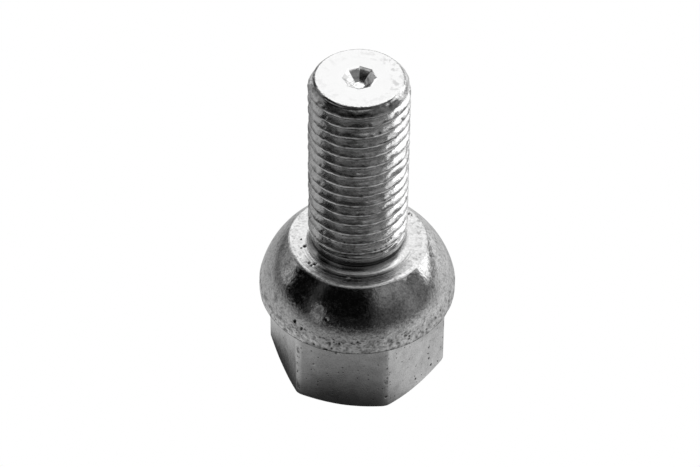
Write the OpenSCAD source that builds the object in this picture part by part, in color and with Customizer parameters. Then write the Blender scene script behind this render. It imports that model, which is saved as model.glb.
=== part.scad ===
// One-piece wheel bolt: a hex head, a ball collar that centres the wheel, and a shank for a
// 12 x 1.5 mm thread. It stands on its head, with the shank pointing up the Z axis.
// The shank is drawn as the cylinder over the thread's crests, as on a working drawing.

/* [Hex head] */
// Width across the flats of the hex head, for a 19 mm socket
hex_across_flats = 18.85; // [18.5:0.05:19]
// Height of the hex, from the head's end to the underside of the collar
hex_height = 11.2; // [8:0.1:16]
// Radius of the forged rounding on the six upright edges
hex_edge_r = 1.0; // [0.3:0.1:2]
// Diameter of the flat end of the head, inside the chamfer
head_face_d = 18.4; // [16:0.1:18.6]
// Slope of the end chamfer, in degrees from the end face
head_chamfer_angle = 30; // [15:1:45]

/* [Ball collar] */
// Radius of the ball that seats in the wheel
ball_r = 12; // [11.8:0.1:14]
// Height of the collar, from its underside to the flat shoulder round the neck
collar_h = 7.7; // [6:0.1:8.5]
// Diameter of the upright band under the ball
band_d = 23.5; // [22.6:0.1:23.5]
// Height of the upright band
band_h = 1.3; // [0.8:0.1:2]
// Radius that breaks the band's lower edge
band_edge_r = 0.25; // [0.1:0.05:0.5]
// Radius that rounds the shoulder over into the ball
shoulder_edge_r = 0.8; // [0.2:0.1:1]

/* [Shank] */
// Length of the shank, from the shoulder to its end
shank_length = 25.1; // [18:0.1:45]
// Diameter over the thread's crests
thread_d = 11.85; // [11.75:0.01:11.96]
// Diameter of the plain neck under the thread
neck_d = 11; // [10.2:0.1:11.4]
// Height of the neck, from the shoulder to the thread's run-out
neck_h = 2.2; // [1.8:0.1:4]
// Radius of the fillet between the neck and the shoulder
neck_fillet_r = 1.0; // [0.6:0.1:1.6]
// Diameter of the flat end face of the shank
end_face_d = 10.2; // [8:0.1:11]
// Height of the chamfer at the shank's end
end_chamfer_h = 1.0; // [0.5:0.1:2]

/* [Punch mark] */
// Width of the mark's rim in the shank's end face, over its corners
mark_d = 4.1; // [2:0.1:6]
// Width of the mark's flat floor, over its corners
mark_floor_d = 1.3; // [0.6:0.1:1.8]
// Depth of the mark
mark_depth = 1.15; // [0.5:0.05:2]
// Number of the mark's sloping sides
mark_sides = 8; // [4:1:10]
// Turn of the mark's corners about the axis, in degrees
mark_turn = 10; // [0:1:45]

/* [Hidden] */
$fn = 96;

steel = [0.72, 0.72, 0.73];
cut_margin = 1; // how far a cutting shape runs past the metal

hex_corners = 6;
hex_corner_r = hex_across_flats / 2 / cos(180 / hex_corners);
edge_centre_r = hex_corner_r - hex_edge_r / cos(180 / hex_corners);

head_face_r = head_face_d / 2;
chamfer_run = hex_corner_r + cut_margin - head_face_r;
chamfer_rise = chamfer_run * tan(head_chamfer_angle);

band_r = band_d / 2;
band_top_z = hex_height + band_h;
ball_z = band_top_z - sqrt(pow(ball_r, 2) - pow(band_r, 2));
shoulder_z = hex_height + collar_h;

// The shoulder's rounding touches both the flat shoulder and the ball
shoulder_edge_z = shoulder_z - shoulder_edge_r;
shoulder_edge_x = sqrt(pow(ball_r - shoulder_edge_r, 2) - pow(shoulder_edge_z - ball_z, 2));
shoulder_edge_slope = atan2(shoulder_edge_z - ball_z, shoulder_edge_x);

thread_r = thread_d / 2;
neck_r = neck_d / 2;
end_face_r = end_face_d / 2;
total_length = shoulder_z + shank_length;
runout_z = shoulder_z + neck_h;
thread_bottom_z = runout_z + thread_r - neck_r;
thread_top_z = total_length - end_chamfer_h;

// What is left over when a corner is rounded: the corner's wedge outside its arc.
// The wedge opens between two directions, each square to one of the two sides.
module corner_waste(r, from_angle, to_angle) {
    reach = r + cut_margin;
    mid_angle = (from_angle + to_angle) / 2;
    far = reach / cos((to_angle - from_angle) / 2);
    difference() {
        polygon([
            [0, 0],
            reach * [cos(from_angle), sin(from_angle)],
            far * [cos(mid_angle), sin(mid_angle)],
            reach * [cos(to_angle), sin(to_angle)]
        ]);
        circle(r);
    }
}

// Outline of the hex, with its six corners rounded
module hex_outline() {
    half_turn = 180 / hex_corners;
    difference() {
        circle(hex_corner_r, $fn = hex_corners);
        for (i = [0 : hex_corners - 1])
            rotate(i * 2 * half_turn)
                translate([edge_centre_r, 0])
                    corner_waste(hex_edge_r, -half_turn, half_turn);
    }
}

// Turned outline of the head's end: the flat face and the chamfer over the hex corners
module head_end_profile() {
    polygon([
        [0, 0],
        [head_face_r, 0],
        [head_face_r + chamfer_run, chamfer_rise],
        [head_face_r + chamfer_run, hex_height],
        [0, hex_height]
    ]);
}

module hex_head() {
    intersection() {
        linear_extrude(hex_height) hex_outline();
        rotate_extrude() head_end_profile();
    }
}

// Half section of the collar: a slice of the ball on an upright band
module collar_profile() {
    difference() {
        intersection() {
            translate([0, ball_z]) circle(ball_r);
            translate([0, hex_height]) square([band_r, collar_h]);
        }
        translate([band_r - band_edge_r, hex_height + band_edge_r])
            corner_waste(band_edge_r, -90, 0);
        translate([shoulder_edge_x, shoulder_edge_z])
            corner_waste(shoulder_edge_r, shoulder_edge_slope, 90);
    }
}

// Half section of the fillet that spreads the neck into the shoulder
module neck_fillet_profile() {
    difference() {
        translate([neck_r - cut_margin, shoulder_z - cut_margin])
            square(neck_fillet_r + cut_margin);
        translate([neck_r + neck_fillet_r, shoulder_z + neck_fillet_r])
            circle(neck_fillet_r);
    }
}

// Half section of the neck, the thread's run-out, its crest cylinder and the end chamfer
module shank_profile() {
    polygon([
        [0, shoulder_z - cut_margin],
        [neck_r, shoulder_z - cut_margin],
        [neck_r, runout_z],
        [thread_r, thread_bottom_z],
        [thread_r, thread_top_z],
        [end_face_r, total_length],
        [0, total_length]
    ]);
}

module collar_and_shank() {
    rotate_extrude() {
        collar_profile();
        neck_fillet_profile();
        shank_profile();
    }
}

// Tapered many-sided mark that the end stop leaves in the shank's end
module punch_mark() {
    taper = (mark_d - mark_floor_d) / mark_depth;
    translate([0, 0, total_length - mark_depth])
        rotate(mark_turn)
            cylinder(
                h = mark_depth + cut_margin,
                d1 = mark_floor_d,
                d2 = mark_d + taper * cut_margin,
                $fn = mark_sides
            );
}

module wheel_bolt() {
    color(steel)
        difference() {
            union() {
                hex_head();
                collar_and_shank();
            }
            punch_mark();
        }
}

wheel_bolt();
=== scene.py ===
"""Looks of a one-piece wheel bolt: rolled thread, polished ball collar, satin hex head.

The bolt's metal is one closed mesh. It is a stack of rings round the Z axis, from the middle of the
head's end to the floor of the punch mark, with a sheared grid that follows the thread's helix.
Wear is pressed into that mesh, and finer grain comes from the material.
Lengths are in millimetres, also in the bolt's material. Only the floor's lengths and the camera's
clip distances are in metres.
"""

import math
import random
from collections import namedtuple

import bmesh
import bpy
import numpy as np
from mathutils import Matrix, Vector, noise
from mathutils.bvhtree import BVHTree
from mathutils.kdtree import KDTree


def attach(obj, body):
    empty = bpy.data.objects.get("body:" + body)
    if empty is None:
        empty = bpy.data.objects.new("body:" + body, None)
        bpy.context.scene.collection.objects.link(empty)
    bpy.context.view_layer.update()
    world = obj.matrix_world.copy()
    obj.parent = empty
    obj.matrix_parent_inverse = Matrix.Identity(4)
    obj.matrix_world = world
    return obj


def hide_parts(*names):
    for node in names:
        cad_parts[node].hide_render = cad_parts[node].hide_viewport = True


MM = 0.001

# Hex head. It flares a hair where it meets the collar.
HEX_CORNERS = 6
HEX_FLAT_R = 9.425
HEX_TOP = 11.2
HEX_EDGE_R = 1.0
HEAD_FACE_R = 9.2
CHAMFER_SLOPE = math.tan(math.radians(30))
TOP_FLARE = 0.05

# Ball collar. The rough band is drawn a hair inside its true radius of 11.75.
BALL_R = 12.0
BAND_R = 11.74
BAND_TOP = 12.5
BAND_EDGE_R = 0.25
BALL_Z = 10.063
SHOULDER_Z = 18.9
SHOULDER_EDGE_R = 0.8

# Shank
NECK_R = 5.5
NECK_FILLET_R = 1.0
UNDERCUT_R = 5.42
RUNOUT_R = 5.72
RUNOUT_Z = 21.1
TOTAL_H = 44.0
END_FACE_R = 5.1
END_CHAMFER_H = 1.0
CHAMFER_FOOT_Z = TOTAL_H - END_CHAMFER_H
END_EDGE = 0.08

# The neck above its fillet, as radius and height: an undercut, then the ring where the thread runs out
NECK_STEPS = (
    (UNDERCUT_R, 20.0),
    (UNDERCUT_R, 20.16),
    (5.6, 20.26),
    (RUNOUT_R - 0.03, 20.33),
    (RUNOUT_R, 20.42),
    (RUNOUT_R, 20.86),
    (RUNOUT_R - 0.02, 21.03),
    (RUNOUT_R - 0.04, RUNOUT_Z),
)

# Rolled thread. It grows from the run-out ring over a short stretch.
CREST_R = 5.925
ROOT_R = 5.05
PITCH = 1.5
CREST_HALF = 0.2
FLANK_SLOPE = math.tan(math.radians(30))
CREST_ROUNDING = 0.26
ROOT_ROUNDING = 0.12
CHAMFER_ROUNDING = 0.04
GROWTH_START = 0.02
GROWTH_LENGTH = 0.33

# Punch mark in the shank's end
MARK_SIDES = 8
MARK_TURN = math.radians(10)
MARK_RIM_R = 2.05
MARK_FLOOR_R = 0.65
MARK_DEPTH = 1.15
MARK_FLOOR_Z = TOTAL_H - MARK_DEPTH
MARK_EDGE_R = 0.15

# The photo's camera: the hex corner nearest to it lies 19.3 degrees to its right
CAMERA_AZIMUTH = -79.32
CAMERA_ELEVATION = 43.49
CAMERA_DISTANCE = 370.4
CAMERA_ROLL = 0.5
CAMERA_AIM_RIGHT = -0.913
CAMERA_AIM_Z = 19.755
CAMERA_LENS = 161.07
SENSOR_WIDTH = 36.0
PHOTO_WIDTH = 700
PHOTO_HEIGHT = 467

# A crest of the thread faces the camera at this height
CREST_Z_AT_CAMERA = 43.03

# Columns and rings of the mesh. A share says how far a ring lies along its stretch of the surface.
COLUMNS = 240
CORNER_CROWDING = 0.35
HEAD_FACE_RADII = (2.5, 5, 7.5, 8.6, 9.14)
CHAMFER_SHARES = (0.06, 0.3, 0.6, 0.85, 0.97)
HEX_SHARES = (0.012, *np.linspace(0.06, 0.985, 16))
END_FACE_SHARES = (0.3, 0.55, 0.78, 0.97)

# Heights of the thread's rows between a crest and the root above it: close together near both, and
# wide on the flank. A few spare turns of rows are cut off at the ends of the stretch.
ROWS_TO_ROOT = np.array([0.11, 0.165, 0.21, 0.25, 0.42, 0.6, 0.67])
ROW_MARGIN = 0.01
SPARE_TURNS = 3

# How far in and down the rings of the end face's rounded edge lie, as shares of that edge
END_EDGE_SHARES = ((0.4, 0.5), (1.1, 0.13), (2.2, 0))

# How far in and down the rings of the punch mark's wall lie, as shares of the wall
MARK_WALL_SHARES = ((0.03, 0.015), (0.3, 0.17), (0.6, 0.48), (0.96, 0.96), (1.0, 1.0))

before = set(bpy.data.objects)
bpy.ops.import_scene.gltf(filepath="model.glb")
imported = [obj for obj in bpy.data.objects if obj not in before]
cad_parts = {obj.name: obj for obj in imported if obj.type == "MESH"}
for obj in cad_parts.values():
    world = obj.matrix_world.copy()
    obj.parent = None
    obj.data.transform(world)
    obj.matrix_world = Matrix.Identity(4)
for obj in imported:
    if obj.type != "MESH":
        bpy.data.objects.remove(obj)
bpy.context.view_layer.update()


def column_angles():
    """Angles of the mesh's columns, drawn together at the hex's corners."""
    per_side = COLUMNS // HEX_CORNERS
    across = (np.arange(per_side) - per_side / 2) / (per_side / 2)
    eased = CORNER_CROWDING * across + (1 - CORNER_CROWDING) * across**3
    side = math.pi / HEX_CORNERS * eased
    return np.concatenate([side + k * 2 * math.pi / HEX_CORNERS for k in range(HEX_CORNERS)])


PHI = column_angles()


def polygon_radius(angles, sides, flat_r, edge_r, turn=0.0):
    """Distance from the axis to a polygon with rounded corners, in each direction."""
    half = math.pi / sides
    from_corner = np.abs((angles - turn + half) % (2 * half) - half)
    centre_r = (flat_r - edge_r) / math.cos(half)
    arc_end = math.atan2(edge_r * math.sin(half), centre_r + edge_r * math.cos(half))
    flat = flat_r / np.cos(half - from_corner)
    inside = np.maximum(edge_r**2 - (centre_r * np.sin(from_corner)) ** 2, 0)
    arc = centre_r * np.cos(from_corner) + np.sqrt(inside)
    return np.where(from_corner < arc_end, arc, flat)


HEX_R = polygon_radius(PHI, HEX_CORNERS, HEX_FLAT_R, HEX_EDGE_R)


def ring(radius, height):
    """One ring of points. Radius and height are numbers or one value for each column."""
    radius = np.broadcast_to(np.asarray(radius, float), PHI.shape)
    height = np.broadcast_to(np.asarray(height, float), PHI.shape)
    return np.stack([radius * np.cos(PHI), radius * np.sin(PHI), height], axis=1)


def arc_rings(centre_r, centre_z, radius, start, end, steps):
    """Rings along an arc of the half section, from one angle to another, in degrees."""
    turns = np.radians(np.linspace(start, end, steps))
    return [ring(centre_r + radius * math.cos(t), centre_z + radius * math.sin(t)) for t in turns]


def line_rings(start, end, steps):
    """Rings along a straight line of the half section, without its first point."""
    shares = np.linspace(0, 1, steps + 1)[1:]
    return [ring(start[0] + (end[0] - start[0]) * s, start[1] + (end[1] - start[1]) * s) for s in shares]


def head_rings():
    """The head's end, its chamfer, the hex and the underside of the collar."""
    rings = [ring(radius, 0) for radius in HEAD_FACE_RADII]
    chamfer_run = HEX_R - HEAD_FACE_R
    chamfer_top = chamfer_run * CHAMFER_SLOPE
    rings += [ring(HEAD_FACE_R + chamfer_run * share, chamfer_top * share) for share in CHAMFER_SHARES]
    rings += [ring(HEX_R, chamfer_top + (HEX_TOP - chamfer_top) * share) for share in HEX_SHARES]
    underside_r = BAND_R - 2 * BAND_EDGE_R
    return rings + [ring(HEX_R + TOP_FLARE, HEX_TOP), ring(underside_r, HEX_TOP)]


def collar_rings():
    """The band, the ball, the shoulder and the fillet that spreads the neck into it."""
    edge_z = SHOULDER_Z - SHOULDER_EDGE_R
    edge_r = math.sqrt((BALL_R - SHOULDER_EDGE_R) ** 2 - (edge_z - BALL_Z) ** 2)
    edge_slope = math.degrees(math.atan2(edge_z - BALL_Z, edge_r))
    ball_low = math.degrees(math.asin((BAND_TOP - BALL_Z) / BALL_R))
    band_low = HEX_TOP + BAND_EDGE_R
    fillet_r = NECK_R + NECK_FILLET_R
    rings = arc_rings(BAND_R - BAND_EDGE_R, band_low, BAND_EDGE_R, -90, 0, steps=6)
    rings += line_rings((BAND_R, band_low), (BAND_R, BAND_TOP), steps=10)
    rings += arc_rings(0, BALL_Z, BALL_R, ball_low, edge_slope, steps=40)[1:]
    rings += arc_rings(edge_r, edge_z, SHOULDER_EDGE_R, edge_slope, 90, steps=8)[1:]
    rings += line_rings((edge_r, SHOULDER_Z), (fillet_r, SHOULDER_Z), steps=5)
    rings += arc_rings(fillet_r, SHOULDER_Z + NECK_FILLET_R, NECK_FILLET_R, 270, 180, steps=12)[1:]
    return rings


def end_rings():
    """The end face with its rounded edge, and the punch mark in it."""
    mark_flat_r = MARK_RIM_R * math.cos(math.pi / MARK_SIDES)
    rim = polygon_radius(PHI, MARK_SIDES, mark_flat_r, MARK_EDGE_R, MARK_TURN)
    floor = rim * MARK_FLOOR_R / MARK_RIM_R
    rings = [ring(END_FACE_R - END_EDGE * inward, TOTAL_H - END_EDGE * down)
             for inward, down in END_EDGE_SHARES]
    rings += [ring(END_FACE_R + (rim - END_FACE_R) * share, TOTAL_H) for share in END_FACE_SHARES]
    rings += [ring(rim + (floor - rim) * inward, TOTAL_H - MARK_DEPTH * down)
              for inward, down in MARK_WALL_SHARES]
    return rings + [ring(floor / 2, MARK_FLOOR_Z)]


def smooth_min(a, b, width):
    """The smaller of two values, with a rounded change from one to the other."""
    mix = np.clip(0.5 + 0.5 * (b - a) / width, 0, 1)
    return b + (a - b) * mix - width * mix * (1 - mix)


def smooth_step(share):
    """Rises gently from 0 at 0 to 1 at 1."""
    return share * share * (3 - 2 * share)


def camera_turn(phi):
    """Angles about the axis as turns from the camera's bearing."""
    return (phi - math.radians(CAMERA_AZIMUTH)) / (2 * math.pi)


def thread_radius(phi, z):
    """Distance from the axis to the metal of the threaded stretch."""
    offset = (z - CREST_Z_AT_CAMERA - PITCH * camera_turn(phi) + PITCH / 2) % PITCH - PITCH / 2
    flank = CREST_R - (np.abs(offset) - CREST_HALF) / FLANK_SLOPE
    crest = smooth_min(flank, CREST_R, CREST_ROUNDING)
    full = -smooth_min(-crest, -ROOT_R, ROOT_ROUNDING)
    grown = smooth_step(np.clip((z - RUNOUT_Z - GROWTH_START) / GROWTH_LENGTH, 0, 1))
    run_out = RUNOUT_R + (full - RUNOUT_R) * grown
    cone = END_FACE_R + (TOTAL_H - z) * (CREST_R - END_FACE_R) / END_CHAMFER_H
    return smooth_min(run_out, cone, CHAMFER_ROUNDING)


class Metal:
    """Points and faces of the bolt's mesh, built up from the bottom."""

    def __init__(self):
        self.points = []
        self.count = 0
        self.faces = []

    def add_points(self, points):
        """Adds points and returns the index of the first."""
        first = self.count
        self.points.append(np.asarray(points, float))
        self.count += len(points)
        return first

    def add_pole(self, z, indices, upward):
        """Closes a ring of points with a fan round a middle point."""
        middle = self.add_points([[0, 0, z]])
        for a, b in zip(indices, np.roll(indices, -1)):
            self.faces.append((middle, a, b) if upward else (middle, b, a))

    def join(self, lower, upper):
        """Joins two rings of points with a band of four-sided faces."""
        for a, b, c, d in zip(lower, np.roll(lower, -1), np.roll(upper, -1), upper):
            self.faces.append((a, b, c, d))

    def add_rings(self, rings, below=None):
        """Adds rings one above the other, joined to each other and to the ring below."""
        for points in rings:
            first = self.add_points(points)
            here = np.arange(first, first + COLUMNS)
            if below is not None:
                self.join(below, here)
            below = here
        return below

    def add_thread_column(self, phi, heights, bottom):
        """Adds one column of the threaded stretch, and returns the index of each row's point.

        Rows that lie below or above the stretch share the point at its end.
        """
        top_z = TOTAL_H - END_EDGE
        inside = np.flatnonzero((heights > RUNOUT_Z + ROW_MARGIN) & (heights < top_z - ROW_MARGIN))
        radius = thread_radius(phi, heights[inside])
        rows = np.stack([radius * math.cos(phi), radius * math.sin(phi), heights[inside]], axis=1)
        first = self.add_points(rows)
        top = self.add_points([[END_FACE_R * math.cos(phi), END_FACE_R * math.sin(phi), top_z]])
        index = np.full(len(heights), top)
        index[inside] = first + np.arange(len(inside))
        index[: inside[0]] = bottom
        return index

    def join_columns(self, left, right):
        """Joins two columns of points with faces, each without the corners that coincide."""
        for row in range(len(left) - 1):
            corners = [left[row], right[row], right[row + 1], left[row + 1]]
            kept = list(dict.fromkeys(corners))
            if len(kept) >= 3:
                self.faces.append(tuple(kept))

    def add_thread(self, below):
        """Adds the threaded stretch, whose rows climb one pitch in each turn."""
        offsets = np.concatenate([[0], ROWS_TO_ROOT, [PITCH / 2], PITCH - ROWS_TO_ROOT[::-1]])
        turns = math.ceil((TOTAL_H - RUNOUT_Z) / PITCH) + SPARE_TURNS
        start = CREST_Z_AT_CAMERA - PITCH * (turns - 1)
        base = np.concatenate([start + PITCH * k + offsets for k in range(turns)])
        columns = [
            self.add_thread_column(phi, base + PITCH * camera_turn(phi), bottom)
            for phi, bottom in zip(PHI, below)
        ]
        top = np.array([column[-1] for column in columns])
        # A full turn on, the first column's rows are met one pitch higher
        again = np.append(columns[0][len(offsets):], np.full(len(offsets), top[0]))
        for left, right in zip(columns, [*columns[1:], again]):
            self.join_columns(left, right)
        return top


def build_metal():
    """The whole bolt as points in millimetres and faces."""
    metal = Metal()
    head = head_rings()
    first_ring = metal.add_rings(head[:1])
    metal.add_pole(0, first_ring, upward=False)
    neck = [ring(radius, height) for radius, height in NECK_STEPS]
    neck_top = metal.add_rings(head[1:] + collar_rings() + neck, first_ring)
    top = metal.add_thread(neck_top)
    last = metal.add_rings(end_rings(), top)
    metal.add_pole(MARK_FLOOR_Z, last, upward=True)
    return np.concatenate(metal.points), metal.faces


def swell(place, lump, seed):
    """Soft noise from -1 to 1 whose lumps are about the given size."""
    return noise.noise(Vector(place) / lump + Vector((seed, seed, seed)))


def fade(value, low, high):
    """Smooth step from 0 at low to 1 at high."""
    return smooth_step(min(max((value - low) / (high - low), 0), 1))


# Depths of the wear, and how near the end faces it stops
KEPT_FLAT = 0.02
HEX_WEAR = 0.012
BAND_ROUGHNESS = 0.035
BAND_DENTS = 0.04
BALL_WEAR = 0.003
NECK_WEAR = 0.006
CREST_KNOCKS = 0.09
CREST_RUBBING = 0.07
THREAD_WEAR = 0.012

# Where the rough band fades out up the ball, and where a flank turns into a worn crest
ROUGH_BAND_Z = (12.4, 13.6)
WORN_CREST_RADII = (5.55, 5.85)


def collar_wear(place):
    """Wear of the rough band, which fades out up the ball."""
    rough = BAND_ROUGHNESS * abs(swell(place, lump=0.9, seed=2))
    dents = BAND_DENTS * max(0, swell(place, lump=1.6, seed=3))
    band = 1 - fade(place.z, *ROUGH_BAND_Z)
    return band * (rough + dents) + BALL_WEAR * (1 + swell(place, lump=1.5, seed=4))


def thread_wear(place):
    """Wear of the thread, whose crests are knocked and rubbed."""
    radius = math.hypot(place.x, place.y)
    crest = fade(radius, *WORN_CREST_RADII)
    knocks = CREST_KNOCKS * fade(swell(place, lump=1.3, seed=6), 0.05, 0.6)
    rubbing = CREST_RUBBING * (1 + swell(place, lump=0.5, seed=7)) / 2
    return crest * (knocks + rubbing) + THREAD_WEAR * (1 + swell(place, lump=0.8, seed=8))


def wear_depth(place):
    """How far the metal has worn back at a place."""
    if place.z < KEPT_FLAT or place.z > TOTAL_H - KEPT_FLAT:
        return 0.0
    if place.z < HEX_TOP - KEPT_FLAT:
        return HEX_WEAR * (1 + swell(place, lump=2.2, seed=1))
    if place.z < SHOULDER_Z - 0.1:
        return collar_wear(place)
    if place.z < RUNOUT_Z + 0.05:
        return NECK_WEAR * (1 + swell(place, lump=0.8, seed=5))
    return thread_wear(place)


def camera_axes():
    """The camera's right, up and backward directions, with its small roll, and its place."""
    azimuth = math.radians(CAMERA_AZIMUTH)
    elevation = math.radians(CAMERA_ELEVATION)
    roll = math.radians(CAMERA_ROLL)
    outward = Vector((math.cos(azimuth), math.sin(azimuth), 0))
    level = Vector((-outward.y, outward.x, 0))
    back = outward * math.cos(elevation) + Vector((0, 0, math.sin(elevation)))
    upright = back.cross(level)
    right = level * math.cos(roll) + upright * math.sin(roll)
    up = upright * math.cos(roll) - level * math.sin(roll)
    place = level * CAMERA_AIM_RIGHT + Vector((0, 0, CAMERA_AIM_Z)) + back * CAMERA_DISTANCE
    return right, up, back, place


def photo_ray(x, y):
    """Start and direction of the ray through a point of the photo."""
    right, up, back, place = camera_axes()
    pixels = PHOTO_WIDTH * CAMERA_LENS / SENSOR_WIDTH
    across = (x - PHOTO_WIDTH / 2) / pixels
    down = (y - PHOTO_HEIGHT / 2) / pixels
    return place, (right * across - up * down - back).normalized()


# Pits and dents seen in the photo: where they are there, in its pixels, then radius and depth in mm
PITS_SEEN = {
    "hex right": [(429, 347.4, 0.16, 0.1), (428.4, 353.4, 0.16, 0.1), (429, 358.3, 0.2, 0.12),
                  (431.2, 364.6, 0.24, 0.14), (415.6, 378.9, 0.17, 0.12), (409.9, 370.1, 0.14, 0.08),
                  (423.9, 346.1, 0.14, 0.06), (437.9, 361, 0.15, 0.08), (415, 360.8, 0.12, 0.05)],
    "hex front": [(313.6, 364.6, 0.17, 0.05), (314.2, 369.7, 0.19, 0.06), (349.3, 367.2, 0.2, 0.02)],
    "hex left": [(283, 337.9, 0.16, 0.08), (286.1, 346.8, 0.17, 0.08)],
    "right edge": [(387.2, 366, 0.14, 0.04), (387.2, 381, 0.14, 0.05), (386.2, 397.2, 0.22, 0.12)],
    "band": [(301.5, 328.3, 0.25, 0.12), (303.4, 337.2, 0.4, 0.08), (329.5, 344.2, 0.3, 0.08),
             (331.4, 348.7, 0.2, 0.1), (326.3, 350, 0.25, 0.12), (336, 353, 0.3, 0.1),
             (390.1, 341, 0.5, 0.14), (397.1, 343.6, 0.3, 0.08), (357.6, 341.7, 0.2, 0.06),
             (450.3, 292, 0.25, 0.08), (449.1, 301, 0.3, 0.08), (294.9, 320.8, 0.25, 0.14)],
    "shoulder": [(301.2, 239.3, 0.14, 0.08), (304.7, 246.4, 0.22, 0.12), (301.4, 248.2, 0.16, 0.06),
                 (309.7, 262.9, 0.2, 0.08), (315.4, 264.2, 0.2, 0.1), (312.2, 265.4, 0.2, 0.05),
                 (348.5, 279.5, 0.3, 0.1), (408.8, 213.8, 0.16, 0.08), (411.4, 215.2, 0.14, 0.06)],
    "ball": [(415.6, 289.5, 0.45, 0.03), (418.3, 287.6, 0.35, 0.03), (399.4, 284, 0.5, 0.02),
             (326.6, 319.1, 0.25, 0.04)],
}

# Pits on the sides that the photo doesn't show: their number and their bearings from the camera's,
# then their heights, two in three on the hex and the rest on the band, their radii, and their depths
# as shares of the radius. The rays to them start well outside the bolt.
FAR_PITS = 60
FAR_BEARINGS = (75, 285)
HEX_PIT_Z = (1, 11)
BAND_PIT_Z = (11.3, 13.2)
FAR_PIT_RADII = (0.1, 0.2)
FAR_PIT_DEPTHS = (0.2, 0.45)
FAR_PIT_SEED = 7
RAY_START = 30

# A pit is at its deepest up to the first number of radii from its middle and fades out at the second.
# The edges in it are split until they are a share of its radius, in no more than a few passes.
PIT_FLOOR = 0.2
PIT_SKIRT = 1.3
PIT_EDGE = 0.55
PIT_PASSES = 3
WIDEST_PIT = 0.5

Pit = namedtuple("Pit", "place normal radius depth")


def seen_rays():
    """Rays to the pits seen in the photo, each with the pit's radius and depth."""
    for pits in PITS_SEEN.values():
        for x, y, radius, depth in pits:
            yield *photo_ray(x, y), radius, depth


def far_rays():
    """Rays to pits on the far sides, strewn as on those that the photo shows."""
    dice = random.Random(FAR_PIT_SEED)
    for _ in range(FAR_PITS):
        azimuth = math.radians(CAMERA_AZIMUTH + dice.uniform(*FAR_BEARINGS))
        height = dice.choice([dice.uniform(*span) for span in (HEX_PIT_Z, HEX_PIT_Z, BAND_PIT_Z)])
        outward = Vector((math.cos(azimuth), math.sin(azimuth), 0))
        radius = dice.uniform(*FAR_PIT_RADII)
        depth = radius * dice.uniform(*FAR_PIT_DEPTHS)
        yield outward * RAY_START + Vector((0, 0, height)), -outward, radius, depth


def find_pits(shape):
    """The pits where their rays meet the metal, and a search tree of their places."""
    tree = BVHTree.FromBMesh(shape)
    pits = []
    for start, direction, radius, depth in [*seen_rays(), *far_rays()]:
        place, normal, _, _ = tree.ray_cast(start, direction)
        if place is not None:
            pits.append(Pit(place, normal, radius, depth))
    nearest = KDTree(len(pits))
    for index, pit in enumerate(pits):
        nearest.insert(pit.place, index)
    nearest.balance()
    return pits, nearest


def reaches(edge, place, reach):
    """Whether an edge passes within reach of a place."""
    a, b = (v.co for v in edge.verts)
    along = b - a
    tiny = 1e-12
    share = min(max((place - a).dot(along) / max(along.length_squared, tiny), 0), 1)
    return (a + along * share - place).length < reach


def wants_split(edge, pits, nearest):
    """Whether an edge is too long to hold the pit that it passes through."""
    length = edge.calc_length()
    middle = (edge.verts[0].co + edge.verts[1].co) / 2
    for place, index, _ in nearest.find_range(middle, length / 2 + WIDEST_PIT * PIT_SKIRT):
        radius = pits[index].radius
        if length > radius * PIT_EDGE and reaches(edge, place, radius * PIT_SKIRT):
            return True
    return False


def press_pits(mesh):
    """Presses each pit into the mesh, after making the mesh fine enough to hold it.

    How steep it is stays on the mesh as "pit", where the metal is darker.
    """
    shape = bmesh.new()
    shape.from_mesh(mesh)
    pits, nearest = find_pits(shape)
    for _ in range(PIT_PASSES):
        edges = [e for e in shape.edges if wants_split(e, pits, nearest)]
        bmesh.ops.subdivide_edges(shape, edges=edges, cuts=1, use_grid_fill=True)
    darkening = shape.verts.layers.float.new("pit")
    for vert in shape.verts:
        for _, index, distance in nearest.find_range(vert.co, WIDEST_PIT * PIT_SKIRT):
            pit = pits[index]
            share = 1 - fade(distance / pit.radius, PIT_FLOOR, PIT_SKIRT)
            vert.co -= pit.normal * pit.depth * share
            vert[darkening] = max(vert[darkening], share * pit.depth / pit.radius)
    shape.to_mesh(mesh)
    shape.free()


def make_bolt():
    """The bolt's worn metal as one object, in metres."""
    points, faces = build_metal()
    mesh = bpy.data.meshes.new("bolt_metal")
    mesh.from_pydata(points.tolist(), [], faces)
    mesh.validate()
    worn = [v.co - v.normal * wear_depth(v.co) for v in mesh.vertices]
    mesh.vertices.foreach_set("co", np.array(worn).ravel())
    press_pits(mesh)
    mesh.transform(Matrix.Scale(MM, 4))
    mesh.polygons.foreach_set("use_smooth", [True] * len(mesh.polygons))
    bolt = bpy.data.objects.new("bolt_metal", mesh)
    bpy.context.scene.collection.objects.link(bolt)
    return bolt


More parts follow.
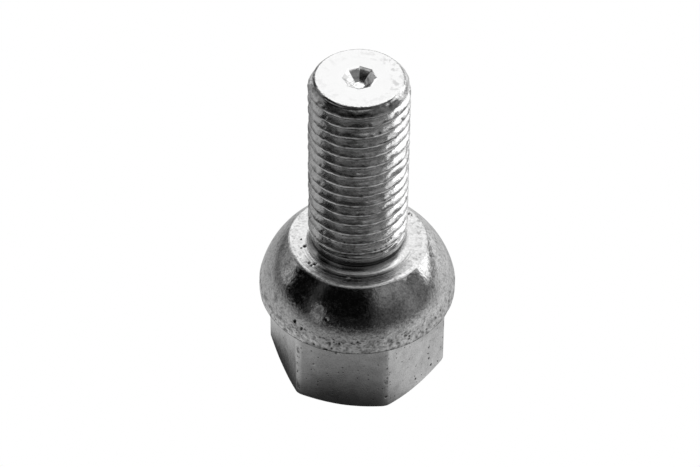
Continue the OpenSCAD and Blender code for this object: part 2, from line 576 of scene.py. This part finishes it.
class Nodes:
    """Short calls for building a node tree."""

    def __init__(self, tree):
        self.tree = tree

    def add(self, kind, **settings):
        """Adds a node and sets it up."""
        made = self.tree.nodes.new(kind)
        for name, value in settings.items():
            setattr(made, name, value)
        return made

    def plug(self, value, socket):
        """Feeds a socket from another socket, or sets it to a number."""
        if isinstance(value, bpy.types.NodeSocket):
            self.tree.links.new(value, socket)
        else:
            socket.default_value = value

    def math(self, operation, *values):
        """Result of a math node."""
        made = self.add("ShaderNodeMath", operation=operation)
        for value, socket in zip(values, made.inputs):
            self.plug(value, socket)
        return made.outputs[0]

    def total(self, first, *rest):
        """Sum of all the values."""
        for value in rest:
            first = self.math("ADD", first, value)
        return first

    def times(self, first, *rest):
        """Product of all the values."""
        for value in rest:
            first = self.math("MULTIPLY", first, value)
        return first

    def layered(self, base, *layers):
        """A base value with layers laid on it, each given as the layer and its strength."""
        return self.total(base, *(self.times(layer, strength) for layer, strength in layers))

    def ease(self, value, low, high, to_low=0.0, to_high=1.0):
        """Smooth change from to_low to to_high as value goes from low to high."""
        made = self.add("ShaderNodeMapRange", interpolation_type="SMOOTHSTEP")
        given = {"Value": value, "From Min": low, "From Max": high, "To Min": to_low, "To Max": to_high}
        for name, number in given.items():
            self.plug(number, made.inputs[name])
        return made.outputs["Result"]

    def blend(self, a, b, share):
        """Goes from a to b as the share goes from 0 to 1."""
        made = self.add("ShaderNodeMix", data_type="FLOAT")
        self.plug(share, made.inputs["Factor"])
        self.plug(a, made.inputs["A"])
        self.plug(b, made.inputs["B"])
        return made.outputs["Result"]

    def parts(self, place):
        """The x, y and z of a place."""
        made = self.add("ShaderNodeSeparateXYZ")
        self.plug(place, made.inputs[0])
        return tuple(made.outputs)

    def off_axis(self, x, y):
        """Distance from the axis."""
        return self.math("SQRT", self.total(self.times(x, x), self.times(y, y)))

    def toward(self, x, y, bearing):
        """How far a place lies toward a bearing, which counts from the camera's."""
        angle = math.radians(CAMERA_AZIMUTH + bearing)
        return self.total(self.times(x, math.cos(angle)), self.times(y, math.sin(angle)))

    def stretch(self, place, across, along):
        """A place scaled across the axis and along it. More than 1 makes a texture's lumps shorter."""
        made = self.add("ShaderNodeVectorMath", operation="MULTIPLY")
        self.plug(place, made.inputs[0])
        made.inputs[1].default_value = (across, across, along)
        return made.outputs[0]

    def grain(self, place, size, detail=2.0):
        """Noise around 0 whose lumps are about the given size."""
        made = self.add("ShaderNodeTexNoise")
        self.plug(place, made.inputs["Vector"])
        made.inputs["Scale"].default_value = 1 / size
        made.inputs["Detail"].default_value = detail
        return self.math("SUBTRACT", made.outputs["Fac"], 0.5)

    def specks(self, place, spacing, size, share, core=0.3):
        """Small round spots in the given share of the cells: 1 in their core and 0 outside."""
        made = self.add("ShaderNodeTexVoronoi")
        self.plug(place, made.inputs["Vector"])
        made.inputs["Scale"].default_value = 1 / spacing
        edge = size / spacing
        spot = self.ease(made.outputs["Distance"], edge * core, edge, 1.0, 0.0)
        lot = self.add("ShaderNodeSeparateColor")
        self.tree.links.new(made.outputs["Color"], lot.inputs[0])
        return self.times(spot, self.math("LESS_THAN", lot.outputs[0], share))


# Where one finish takes over from the one below, as the two heights between which it does
FORGED_FROM = (HEX_TOP - 0.05, HEX_TOP + 0.05)
POLISHED_FROM = (12.9, 13.9)
TURNED_FROM = (SHOULDER_Z - 0.3, SHOULDER_Z - 0.1)
ROLLED_FROM = (RUNOUT_Z - 0.1, RUNOUT_Z + 0.1)
END_FROM = (TOTAL_H - 0.04, TOTAL_H - 0.02)

# Where a finish changes within itself, as the two radii or heights between which it does. The film
# makes the thread a little less metallic.
HEX_EDGE_RADII = (10.67, 10.71)
THREAD_GROOVE_RADII = (5.3, 5.75)
THREAD_CREST_RADII = (5.6, 5.85)
FLAT_SHOULDER_RADII = (6.6, 7.2)
DARKENING_RADII = (2.4, 4.0)
SCUFF_RADII = (3.2, 4.0)
RIM_RADII = (4.5, 4.9)
TORN_RADII = (4.5, END_FACE_R)
BAND_FOOT_SHADE_Z = (HEX_TOP + 0.12, HEX_TOP + 0.42)
FILLET_SHADE_Z = (19.3, 19.8)
TOOL_STEP_Z = (19.62, 19.74)
RING_SHADE_Z = (20.24, 20.34)
RING_STEP_Z = (20.25, 20.34)
LAST_GROOVE_SHADE_Z = (RUNOUT_Z + 0.5, RUNOUT_Z + 0.8)
NECK_DIRT_Z = (22.0, 27.0)
END_CHAMFER_Z = (CHAMFER_FOOT_Z, CHAMFER_FOOT_Z + 0.3)
FILM_FOOT_Z = (RUNOUT_Z, RUNOUT_Z + 0.3)
FILM_END_Z = (CHAMFER_FOOT_Z, CHAMFER_FOOT_Z + 0.1)

# Rings that the turning tool left, in lumps per millimetre
TOOL_RINGS = 2.4

# Bearings from the camera's: the darker side of the end chamfer, and the scuffed side of the end face
DARKENED_SIDE = -40
SCUFFED_SIDE = 110

# Each finish below gives the metal's tone, its roughness and the height of its grain


def satin_finish(n, place, radius):
    """The hex: blasted satin, small dark specks, dark hatched marks along its edges and painted shade on
    its corners.
    """
    specks = n.specks(place, spacing=0.62, size=0.15, share=0.4)
    fine = n.grain(place, size=0.2)
    clouds = n.grain(place, size=1.6, detail=3.0)
    edge = n.ease(radius, *HEX_EDGE_RADII)
    marks = n.ease(n.grain(n.stretch(place, 1.0, 2.2), size=1.1, detail=3.0), 0.0, 0.12)
    hatch = n.times(edge, marks, n.ease(n.grain(place, size=2.6), -0.06, 0.08))
    swells = n.grain(place, size=1.4)
    # The rounded corners get a painted shade that dims their highlight.
    tone = n.layered(0.75, (clouds, 0.55), (fine, 0.5), (specks, -0.5), (edge, -0.1), (hatch, -0.38))
    rough = n.layered(0.3, (n.grain(place, size=0.6), 0.2), (specks, 0.2))
    height = n.layered(0.0, (fine, 0.014), (swells, 0.02), (specks, -0.02), (hatch, -0.05))
    return tone, rough, height


def forged_finish(n, place, _):
    """The band under the ball: rough, mottled and peppered, with a painted shade line along its foot at
    the hex.
    """
    _, _, z = n.parts(place)
    ragged = n.layered(z, (n.grain(place, size=0.7), 0.5))
    # Painted shade: the band's foot is darkened where it meets the hex.
    foot_shade = n.ease(ragged, *BAND_FOOT_SHADE_Z, 0.2, 1.0)
    blobs = n.grain(place, size=0.6, detail=1.0)
    fine = n.grain(place, size=0.28)
    specks = n.specks(place, spacing=0.6, size=0.2, share=0.35)
    tone = n.layered(0.74, (blobs, 1.8), (fine, 1.2), (specks, -0.5))
    rough = n.layered(0.36, (fine, 0.4))
    height = n.layered(0.0, (blobs, 0.2), (fine, 0.05), (specks, -0.05))
    return n.times(tone, foot_shade), rough, height


def polished_finish(n, place, _):
    """The ball: bright, with fine mottling and stains drawn out a little round it."""
    peel = n.grain(place, size=0.32)
    dust = n.grain(place, size=0.16)
    streaks = n.grain(n.stretch(place, 1.0, 0.6), size=0.45)
    stains = n.ease(n.grain(n.stretch(place, 1.0, 1.6), size=1.1), 0.02, 0.2)
    clouds = n.grain(n.stretch(place, 1.0, 0.7), size=0.9)
    swells = n.grain(place, size=1.3)
    tone = n.layered(0.8, (stains, -0.26), (peel, 0.9), (dust, 0.6), (clouds, 0.5))
    rough = n.layered(0.13, (stains, 0.1), (peel, 0.2))
    height = n.layered(0.0, (peel, 0.012), (streaks, 0.014), (swells, 0.02))
    return tone, rough, height


def turned_finish(n, place, radius):
    """Shoulder, fillet and neck: turned, with a tool step, fine rings and painted shade in the neck's
    undercut.
    """
    _, _, z = n.parts(place)
    fine = n.grain(place, size=0.25)
    clouds = n.grain(place, size=0.8)
    rings = n.add("ShaderNodeTexNoise", noise_dimensions="1D")
    n.plug(n.times(n.math("SUBTRACT", radius, z), TOOL_RINGS), rings.inputs["W"])
    # Painted shade: the tone falls to 0.15 in the neck's undercut and comes back to 0.75 on the ring
    # above it.
    neck_shade = n.total(n.ease(z, *FILLET_SHADE_Z, 1.0, 0.15), n.ease(z, *RING_SHADE_Z, 0.0, 0.6))
    mottle = n.times(n.ease(radius, *FLAT_SHOULDER_RADII), n.ease(n.grain(place, size=0.45), 0.0, 0.14))
    steps = n.layered(0.0, (n.ease(z, *TOOL_STEP_Z), 0.06), (n.ease(z, *RING_STEP_Z), 0.03))
    tone = n.layered(0.66, (clouds, 0.3), (fine, 0.4), (mottle, -0.2))
    rough = n.layered(0.14, (fine, 0.15))
    height = n.layered(steps, (fine, 0.006), (rings.outputs["Fac"], 0.02))
    return n.times(tone, neck_shade), rough, height


def chamfer_darkening(n, place, radius):
    """Uneven darkening of the end chamfer on one side, fainter in the punch mark, where it is painted
    shade on the walls.
    """
    x, y, z = n.parts(place)
    side = n.ease(n.toward(x, y, DARKENED_SIDE), -3.0, 1.5)
    uneven = n.layered(0.9, (n.grain(place, size=0.5), 2.0))
    return n.times(n.ease(z, *END_CHAMFER_Z), uneven, side, n.ease(radius, *DARKENING_RADII, 0.35, 1.0))


def rolled_finish(n, place, radius):
    """The thread: blotches along its flanks, darker patches at its root and specks of dirt near the
    neck.

    Painted shade lies in patches on its crests and in its last groove; its end chamfer is darker on one
    side.
    """
    _, _, z = n.parts(place)
    drawn_out = n.stretch(place, 0.7, 2.2)
    blotches = n.grain(drawn_out, size=0.9)
    fine = n.grain(place, size=0.25)
    groove = n.ease(radius, *THREAD_GROOVE_RADII, 1.0, 0.0)
    crest = n.ease(radius, *THREAD_CREST_RADII)
    # Darker in patches down in the grooves.
    darkening = n.times(groove, n.ease(n.grain(drawn_out, size=1.4), 0.02, 0.18))
    patches = n.ease(n.grain(n.stretch(place, 0.8, 2.0), size=1.0), 0.0, 0.16)
    # Painted shade in patches along the crests, which dims and breaks up their highlight.
    crest_shade = n.times(crest, n.ease(n.grain(drawn_out, size=0.8), -0.04, 0.1, 0.04, -0.42))
    dirt = n.times(n.specks(place, spacing=0.5, size=0.2, share=0.4), n.ease(z, *NECK_DIRT_Z, 0.6, 0.12))
    # Painted shade in the last groove by the neck.
    last_groove_shade = n.times(groove, n.ease(z, *LAST_GROOVE_SHADE_Z, 1.0, 0.0))
    tone = n.layered(1.0, (darkening, -0.16), (patches, -0.28), (fine, 0.6), (crest_shade, 1.0), (dirt, -1.0))
    tone = n.layered(tone, (last_groove_shade, -0.4), (chamfer_darkening(n, place, radius), -0.46))
    rough = n.layered(0.2, (crest, 0.12), (blotches, 0.25))
    height = n.layered(0.0, (blotches, 0.045), (fine, 0.014))
    return tone, rough, height


def end_finish(n, place, radius):
    """The shank's end: bright, scuffed on one side and torn a little at its edge."""
    x, y, _ = n.parts(place)
    fine = n.grain(place, size=0.3)
    clouds = n.grain(place, size=1.2)
    near_rim = n.times(n.ease(radius, *SCUFF_RADII), n.ease(radius, *RIM_RADII, 1.0, 0.4))
    side = n.ease(n.toward(x, y, SCUFFED_SIDE), 1.5, 4.0, 0.25, 1.0)
    scuffs = n.times(n.ease(n.grain(place, size=0.9, detail=3.0), -0.02, 0.12), near_rim, side)
    torn = n.times(n.ease(radius, *TORN_RADII), n.grain(place, size=0.4))
    tone = n.layered(0.78, (clouds, 0.04), (scuffs, -0.22))
    rough = n.layered(0.16, (fine, 0.1))
    height = n.layered(0.0, (fine, 0.004), (torn, 0.12))
    return tone, rough, height


def pit_darkening(n):
    """How dark the pits are, from the steepness that press_pits leaves on the mesh."""
    steepness = n.add("ShaderNodeAttribute", attribute_name="pit").outputs["Fac"]
    return n.ease(steepness, 0.05, 0.45, 0.0, 0.85)


def bolt_steel():
    """One metal whose finish changes up the bolt."""
    material = bpy.data.materials.new("plated_steel_worn")
    material.use_nodes = True
    n = Nodes(material.node_tree)
    shader = material.node_tree.nodes["Principled BSDF"]
    in_mm = n.add("ShaderNodeVectorMath", operation="SCALE")
    n.plug(n.add("ShaderNodeTexCoord").outputs["Object"], in_mm.inputs[0])
    in_mm.inputs["Scale"].default_value = 1 / MM
    place = in_mm.outputs[0]
    x, y, z = n.parts(place)
    radius = n.off_axis(x, y)
    ragged = n.layered(z, (n.grain(place, size=0.5), 1.2))
    layers = [
        (forged_finish, n.ease(z, *FORGED_FROM)),
        (polished_finish, n.ease(ragged, *POLISHED_FROM)),
        (turned_finish, n.ease(z, *TURNED_FROM)),
        (rolled_finish, n.ease(z, *ROLLED_FROM)),
        (end_finish, n.ease(z, *END_FROM)),
    ]
    finish = satin_finish(n, place, radius)
    for layer, share in layers:
        finish = [n.blend(a, b, share) for a, b in zip(finish, layer(n, place, radius))]
    tone, rough, height = finish
    tone = n.times(tone, n.math("SUBTRACT", 1.0, pit_darkening(n)))
    colour = n.add("ShaderNodeCombineColor")
    for socket in colour.inputs[:3]:
        n.plug(tone, socket)
    bump = n.add("ShaderNodeBump")
    bump.inputs["Distance"].default_value = MM
    n.plug(height, bump.inputs["Height"])
    film = n.times(n.ease(z, *FILM_FOOT_Z), n.ease(z, *FILM_END_Z, 1.0, 0.0))
    n.plug(n.layered(1.0, (film, -0.12)), shader.inputs["Metallic"])
    n.plug(colour.outputs[0], shader.inputs["Base Color"])
    n.plug(rough, shader.inputs["Roughness"])
    n.plug(bump.outputs[0], shader.inputs["Normal"])
    return material


# Studio light as soft-edged cards on the sky. Each has its bearing from the camera's (90 is to the
# right), half its width, its lower and upper edge and its softness, all in degrees, and its brightness.
# A brightness below zero takes light away, like a black flag in front of a card.
Card = namedtuple("Card", "bearing half_width low high softness brightness")
CARDS = {
    "back": Card(155, 58, 6.5, 59, 4.5, 1.22),
    "back_top": Card(142, 36, 56, 76, 5, 1.0),
    "right_top": Card(89, 18, 35, 51, 4, 1.05),
    "right_low": Card(88, 32, -5, 30, 14, 0.13),
    "front_right": Card(48, 26, -5, 60, 14, 0.06),
    "front_right_top": Card(48, 20, 24, 58, 8, 0.12),
    "front_low": Card(0, 40, -2, 14, 4, 0.006),
    "front_streak": Card(-45, 6, -6, 17, 3, 0.22),
    "front_left": Card(-55, 6, -6, 60, 5, 0.03),
    "left": Card(-127, 27, 20, 43, 4, 0.35),
    "left_low": Card(-136, 36, -10, 22, 5, 0.22),
    "left_edge": Card(-98, 5, 3, 16, 4, 0.36),
    "zenith_right": Card(65, 60, 52, 90, 12, 0.06),
    "zenith": Card(0, 180, 70, 90, 8, 0.56),
    "zenith_left": Card(-110, 110, 54, 66, 7, 0.08),
    "dark_left": Card(-92, 13, 54, 66, 4, -0.03),
    "dark_top": Card(-40, 22, 66, 79, 4, -0.36),
}
ZENITH = 90
ALL_ROUND = 180
SKY_BASE = 0.002
SKY_TO_CAMERA = 3.0


def card_brightness(n, sideways, height, card):
    """Brightness of one card in the direction whose sideways angle and height are given."""
    soft = card.softness
    shape = n.ease(height, card.low - soft, card.low + soft)
    if card.high < ZENITH:
        shape = n.times(shape, n.ease(height, card.high - soft, card.high + soft, 1.0, 0.0))
    if card.half_width < ALL_ROUND:
        edge = n.ease(sideways, card.half_width - soft, card.half_width + soft, 1.0, 0.0)
        shape = n.times(shape, edge)
    return n.times(shape, card.brightness)


def light_sky():
    """White sky for the camera, and the studio's cards for everything that the metal mirrors."""
    world = bpy.data.worlds.new("studio")
    bpy.context.scene.world = world
    world.use_nodes = True
    tree = world.node_tree
    tree.nodes.clear()
    n = Nodes(tree)
    x, y, z = n.parts(n.add("ShaderNodeTexCoord").outputs["Generated"])
    flat = n.off_axis(x, y)
    height = n.math("DEGREES", n.math("ARCSINE", z))
    total = SKY_BASE
    for card in CARDS.values():
        cosine = n.math("DIVIDE", n.toward(x, y, card.bearing), flat)
        sideways = n.math("DEGREES", n.math("ARCCOSINE", cosine))
        total = n.total(total, card_brightness(n, sideways, height, card))
    total = n.math("MAXIMUM", total, 0.0)
    to_camera = n.add("ShaderNodeLightPath").outputs["Is Camera Ray"]
    background = n.add("ShaderNodeBackground")
    n.plug(n.layered(total, (to_camera, SKY_TO_CAMERA)), background.inputs["Strength"])
    background.inputs["Color"].default_value = (1, 1, 1, 1)
    n.plug(background.outputs[0], n.add("ShaderNodeOutputWorld").inputs[0])


# The floor's glow is painted light: a pool round the bolt, in metres, more to the right and left than to
# the front, and white far behind the bolt on the right. Close to the hex a painted shadow of the bolt
# darkens it, deepest to the front and left. A side is its bearing from the camera's, and the two cosines
# between which it fades in. A fade is the two distances from the axis between which it takes place.
Side = namedtuple("Side", "bearing low high")
RIGHT_SIDE = Side(112, -0.25, 0.65)
LEFT_SIDE = Side(-115, -0.1, 0.7)
BACK_SIDE = Side(156, 0.4, 0.9)
FLOOR_HALF = 3.0
POOL_REACH = 0.055
POOL_CENTRE = 1.0
POOL_EDGE = 0.13
BACK_FLOOR = 0.6
BACK_FLOOR_FADE = (0.028, 0.2)
FRONT_SHARE = 0.36
FRONT_SHARE_FAR = 0.62
FRONT_FADE = (0.03, 0.09)
RIGHT_SHARE = 0.24
RIGHT_SHARE_FAR = 0.6
RIGHT_FADE = (0.024, 0.045)
LEFT_SHARE = 0.23
SHADOW_START = 0.0105
SHADOW_END = 0.0215
SHADOW_END_LEFT = 0.0138
SHADOW_LEFT = 0.06
SHADOW_RIGHT = 1.0


def floor_glow(n):
    """Painted brightness of the floor as the metal mirrors it: a pool of light and the bolt's painted
    shadow.
    """
    x, y, _ = n.parts(n.add("ShaderNodeTexCoord").outputs["Object"])
    distance = n.off_axis(x, y)
    pool = n.math("EXPONENT", n.times(distance, -1 / POOL_REACH))
    pool = n.total(n.times(pool, POOL_CENTRE), POOL_EDGE)
    right, left, back = (
        n.ease(n.math("DIVIDE", n.toward(x, y, side.bearing), distance), side.low, side.high)
        for side in (RIGHT_SIDE, LEFT_SIDE, BACK_SIDE)
    )
    front = n.ease(distance, *FRONT_FADE, FRONT_SHARE, FRONT_SHARE_FAR)
    right_share = n.ease(distance, *RIGHT_FADE, RIGHT_SHARE, RIGHT_SHARE_FAR)
    share = n.layered(front, (right, right_share), (left, LEFT_SHARE))
    deepest = n.blend(SHADOW_LEFT, SHADOW_RIGHT, right)
    end = n.blend(SHADOW_END, SHADOW_END_LEFT, left)
    shadow = n.ease(distance, SHADOW_START, end, deepest, 1.0)
    far_back = n.times(back, n.ease(distance, *BACK_FLOOR_FADE, 0.0, BACK_FLOOR))
    return n.total(n.times(pool, share, shadow), far_back)


def lay_floor():
    """Pale floor: white to the camera, and a glow with painted light and shadow for what the metal
    mirrors.
    """
    mesh = bpy.data.meshes.new("floor")
    corners = [(-1, -1), (1, -1), (1, 1), (-1, 1)]
    mesh.from_pydata([(x * FLOOR_HALF, y * FLOOR_HALF, 0) for x, y in corners], [], [(0, 1, 2, 3)])
    floor = bpy.data.objects.new("floor", mesh)
    bpy.context.scene.collection.objects.link(floor)
    material = bpy.data.materials.new("pale_floor")
    material.use_nodes = True
    tree = material.node_tree
    tree.nodes.clear()
    n = Nodes(tree)
    to_camera = n.add("ShaderNodeLightPath").outputs["Is Camera Ray"]
    light = n.add("ShaderNodeEmission")
    n.plug(n.blend(floor_glow(n), 1.0, to_camera), light.inputs["Strength"])
    n.plug(light.outputs[0], n.add("ShaderNodeOutputMaterial").inputs[0])
    mesh.materials.append(material)


def place_camera():
    """The photo's camera."""
    right, up, back, place = camera_axes()
    data = bpy.data.cameras.new("photo_camera")
    data.lens = CAMERA_LENS
    data.sensor_width = SENSOR_WIDTH
    data.clip_start = 0.01
    data.clip_end = 20
    camera = bpy.data.objects.new("photo_camera", data)
    bpy.context.scene.collection.objects.link(camera)
    turn = Matrix((right, up, back)).transposed()
    camera.matrix_world = Matrix.Translation(place * MM) @ turn.to_4x4()
    bpy.context.scene.camera = camera


bolt = make_bolt()
bolt.data.materials.append(bolt_steel())
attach(bolt, "root")
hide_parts("wheel_bolt")

lay_floor()
light_sky()
place_camera()
bpy.context.scene.view_settings.view_transform = "Standard"
